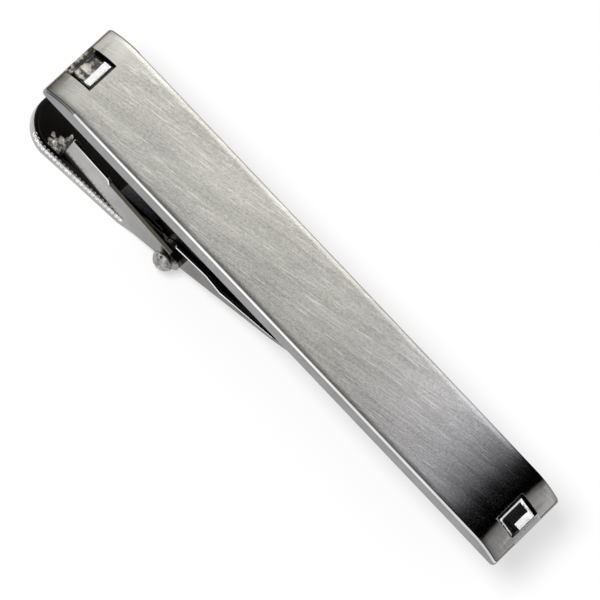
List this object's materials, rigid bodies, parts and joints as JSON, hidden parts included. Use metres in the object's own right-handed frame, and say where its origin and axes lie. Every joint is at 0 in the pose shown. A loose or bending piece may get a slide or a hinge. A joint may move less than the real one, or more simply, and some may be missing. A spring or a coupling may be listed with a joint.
{
  "type": "tie clip",
  "caption": "Flat brushed steel tie clip with a small clear stone set in each sloping end and a sprung toothed jaw, opened by a thumb pad, behind the bar.",
  "frame": {"origin": "middle of the bar's back face, which the jaw closes on", "axes": "+X along the bar from the thumb pad to the jaw's mouth, +Y across the bar, +Z out of the bar's front"},
  "size_m": [0.055, 0.0096, 0.009],
  "materials": {
    "bar_steel": "front brushed along the bar, sides and ends polished",
    "clip_plating": "bright plated stampings",
    "stone": "clear, polished facets",
    "spring_steel": "plain rolled strip"
  },
  "bodies": {
    "bar": {"bar": "bar_steel", "stone_left": "stone", "stone_right": "stone", "base_bracket": "clip_plating", "leaf_spring": "spring_steel"},
    "lever": {"thumb_lever": "clip_plating", "jaw": "clip_plating", "hinge_pin": "clip_plating"}
  },
  "joints": [
    {"name": "lever_hinge", "type": "hinge", "parent": "bar", "child": "lever", "pos_m": [-0.01024, 0, -0.00555], "axis": [0, 1, 0], "range_deg": [0, 15], "stiffness_Nm_per_rad": 0.03, "springref_deg": -60.16, "deforming": ["leaf_spring"]}
  ]
}
